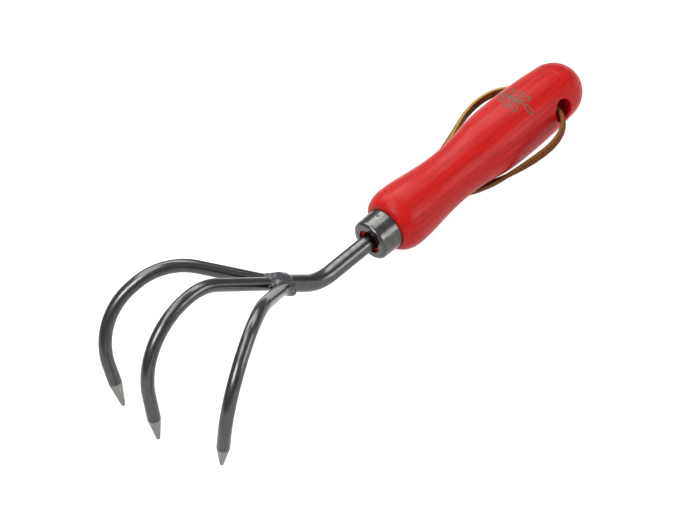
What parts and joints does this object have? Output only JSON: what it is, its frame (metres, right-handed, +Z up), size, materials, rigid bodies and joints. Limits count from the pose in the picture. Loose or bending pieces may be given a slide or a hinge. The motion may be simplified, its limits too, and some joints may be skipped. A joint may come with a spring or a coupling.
{
  "type": "hand cultivator",
  "caption": "Hand cultivator with curved round tines welded to a bent steel shank, a steel ferrule, a turned red-stained ash handle and a leather hanging lace.",
  "frame": {"origin": "under the middle of the tool's length, width and height, on the surface that it lies on", "axes": "+X along the handle towards the tines, +Y to the tool's left, +Z up; the handle's axis is level"},
  "size_m": [0.3174, 0.1, 0.0704],
  "materials": {
    "red_ash": "red stain under satin varnish, dark pores along the grain",
    "ferrule_steel": "drawn and polished, slightly darkened",
    "dark_steel": "dark hand-finished steel, ground lighter at the points",
    "weld_metal": "weld bead with brown heat tint",
    "adhesive": "dark hardened epoxy",
    "leather": "flat-cut thong, dark faces and tan cut edges"
  },
  "bodies": {
    "tool": {"handle": "red_ash", "ferrule": "ferrule_steel", "tang_adhesive": "adhesive", "shank": "dark_steel", "tine_centre": "dark_steel", "tine_left": "dark_steel", "tine_right": "dark_steel", "weld_centre": "weld_metal", "weld_left": "weld_metal", "weld_right": "weld_metal"},
    "hanging_loop": {"leather_lace": "leather", "lace_knot": "leather"}
  },
  "joints": [
    {"name": "loop_swing", "type": "hinge", "parent": "tool", "child": "hanging_loop", "pos_m": [-0.13276, 0, 0.01801], "axis": [0, 1, 0], "range_deg": [0, 320]}
  ]
}
